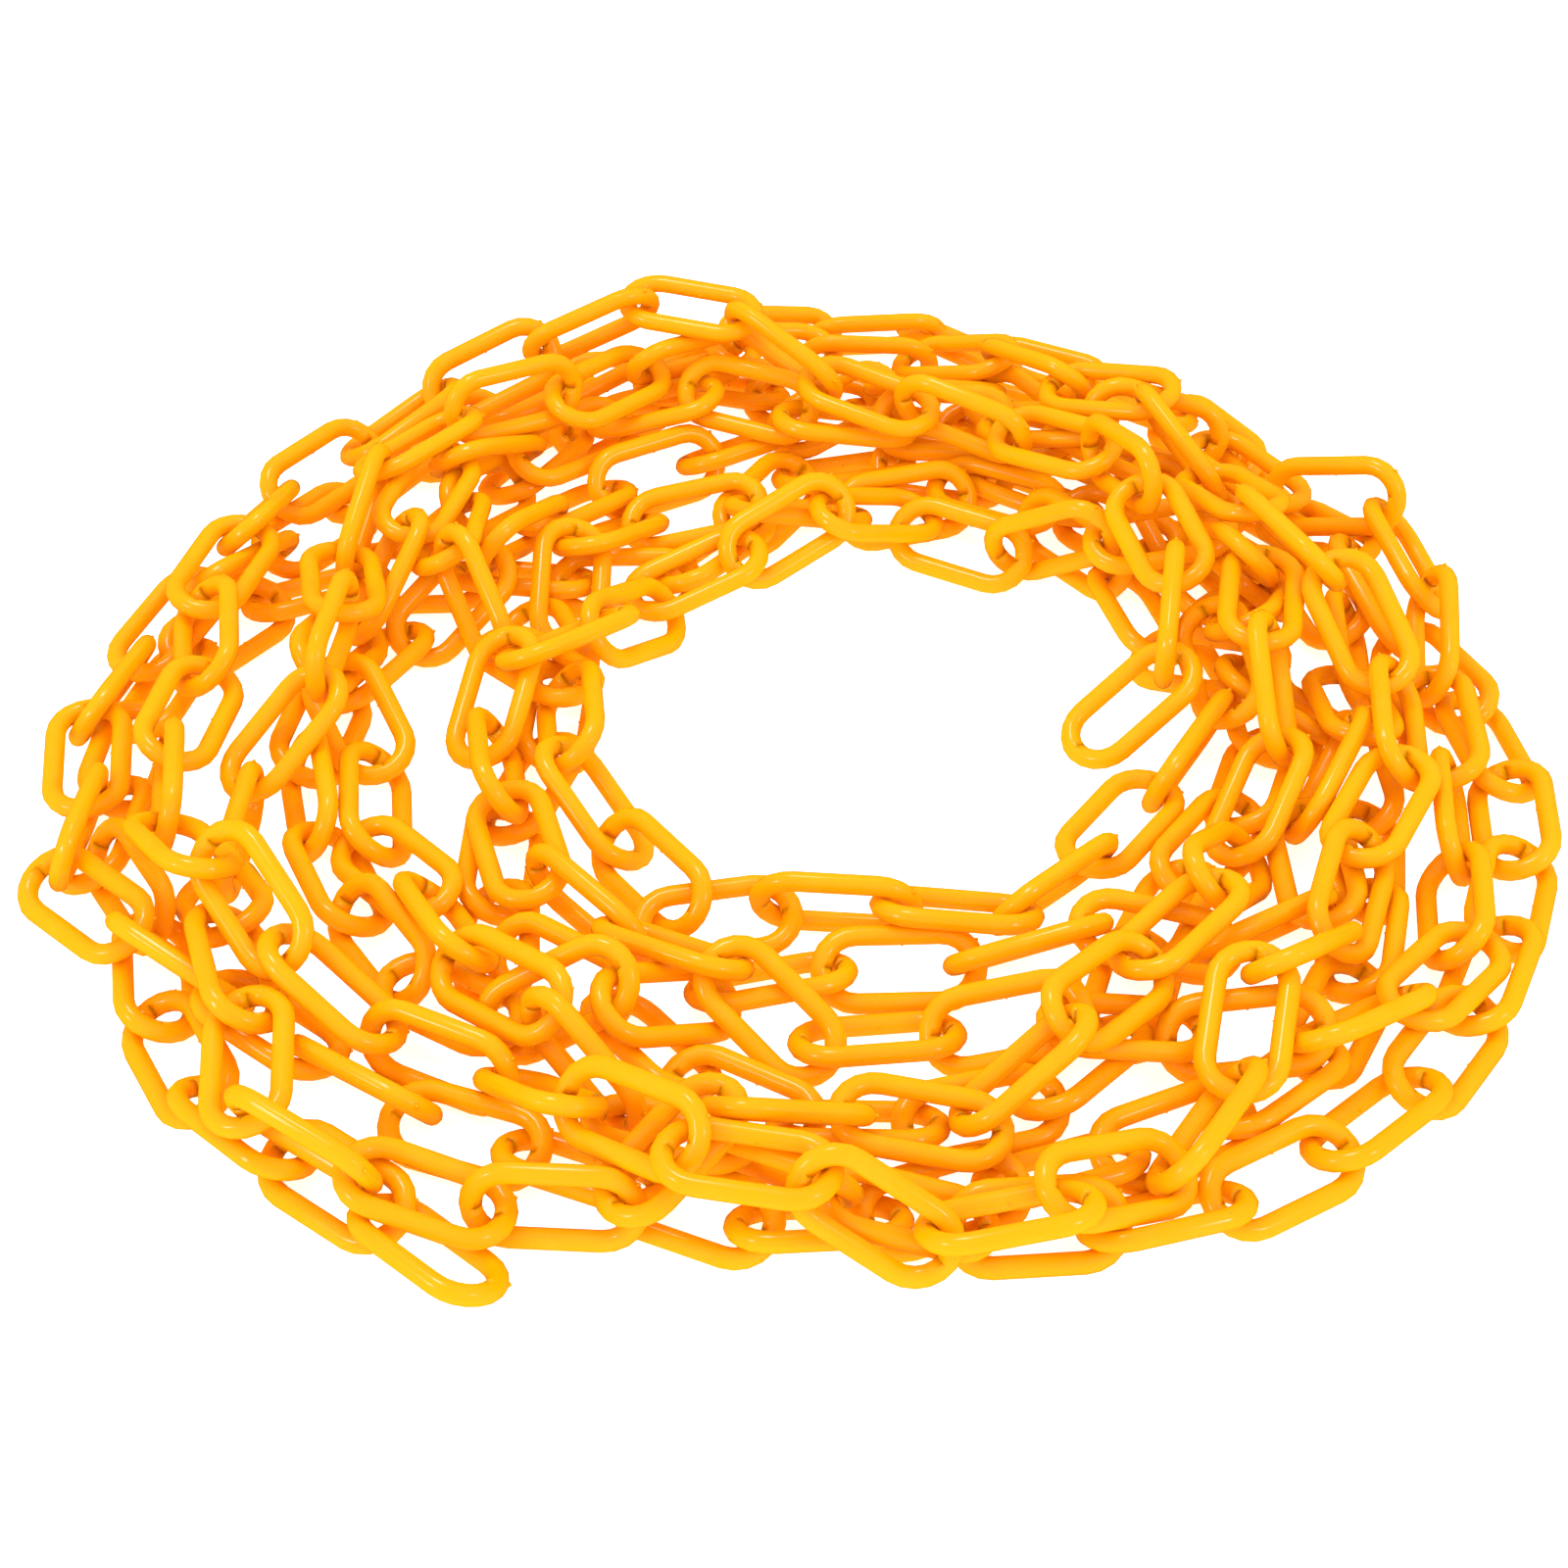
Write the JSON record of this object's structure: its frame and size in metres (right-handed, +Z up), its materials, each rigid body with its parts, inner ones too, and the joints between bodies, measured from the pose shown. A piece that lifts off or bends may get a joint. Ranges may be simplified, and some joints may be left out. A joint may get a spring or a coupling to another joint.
{
  "type": "plastic link chain coil",
  "caption": "Loose coil of moulded plastic barrier chain with oval links of round bar, lying on the floor with both end links free to hook up.",
  "frame": {"origin": "centre of the bounding box of the coil, on the floor it lies on", "axes": "+Z up from the floor; -Y is the front, where the end link on the floor points; +X is to the right, where the other end hangs into the hole"},
  "size_m": [0.4521, 0.4545, 0.0599],
  "materials": {
    "chain_plastic": "smooth moulded polyethylene, satin gloss, safety yellow-orange"
  },
  "bodies": {
    "coil": {"coil_run_01": "chain_plastic", "coil_run_02": "chain_plastic", "coil_run_03": "chain_plastic", "coil_run_04": "chain_plastic", "coil_run_05": "chain_plastic", "coil_run_06": "chain_plastic", "coil_run_07": "chain_plastic", "coil_run_08": "chain_plastic", "coil_run_09": "chain_plastic", "coil_run_10": "chain_plastic", "coil_run_11": "chain_plastic", "coil_run_12": "chain_plastic", "coil_run_13": "chain_plastic", "coil_run_14": "chain_plastic", "coil_run_15": "chain_plastic", "coil_run_16": "chain_plastic", "coil_run_17": "chain_plastic", "coil_run_18": "chain_plastic", "coil_run_19": "chain_plastic", "coil_run_20": "chain_plastic", "coil_run_21": "chain_plastic", "coil_run_22": "chain_plastic", "coil_run_23": "chain_plastic", "coil_run_24": "chain_plastic", "coil_run_25": "chain_plastic", "coil_run_26": "chain_plastic", "coil_run_27": "chain_plastic", "coil_run_28": "chain_plastic", "coil_run_29": "chain_plastic", "coil_run_30": "chain_plastic", "coil_run_31": "chain_plastic", "coil_run_32": "chain_plastic", "coil_run_33": "chain_plastic", "coil_run_34": "chain_plastic", "coil_run_35": "chain_plastic", "coil_run_36": "chain_plastic", "coil_run_37": "chain_plastic", "coil_run_38": "chain_plastic", "coil_run_39": "chain_plastic", "coil_run_40": "chain_plastic", "coil_run_41": "chain_plastic", "coil_run_42": "chain_plastic", "coil_run_43": "chain_plastic"},
    "floor_end_link_1": {"floor_end_link_1": "chain_plastic"},
    "top_end_link_5": {"top_end_link_5": "chain_plastic"},
    "top_end_link_4": {"top_end_link_4": "chain_plastic"},
    "top_end_link_3": {"top_end_link_3": "chain_plastic"},
    "top_end_link_2": {"top_end_link_2": "chain_plastic"},
    "top_end_link_1": {"top_end_link_1": "chain_plastic"}
  },
  "joints": [
    {"name": "floor_end_swing", "type": "hinge", "parent": "coil", "child": "floor_end_link_1", "pos_m": [-0.11225, -0.19227, 0.00704], "axis": [0, 0, -1], "range_deg": [0, 14]},
    {"name": "top_end_lift_5", "type": "hinge", "parent": "coil", "child": "top_end_link_5", "pos_m": [0.06643, 0.12238, 0.02899], "axis": [-0.1788, -0.9747, -0.1344], "range_deg": [0, 50]},
    {"name": "top_end_lift_4", "type": "hinge", "parent": "top_end_link_5", "child": "top_end_link_4", "pos_m": [0.10149, 0.09901, 0.0384], "axis": [-0.9208, -0.39, 0], "range_deg": [0, 55]},
    {"name": "top_end_lift_3", "type": "hinge", "parent": "top_end_link_4", "child": "top_end_link_3", "pos_m": [0.10718, 0.07623, 0.04371], "axis": [-0.9537, -0.3009, 0], "range_deg": [0, 50]},
    {"name": "top_end_lift_2", "type": "hinge", "parent": "top_end_link_3", "child": "top_end_link_2", "pos_m": [0.12029, 0.03469, 0.03753], "axis": [-0.9902, 0.1398, 0], "range_deg": [0, 45]},
    {"name": "top_end_lift_1", "type": "hinge", "parent": "top_end_link_2", "child": "top_end_link_1", "pos_m": [0.11844, 0.00741, 0.02973], "axis": [-0.544, 0.8376, 0.0489], "range_deg": [0, 55]}
  ]
}
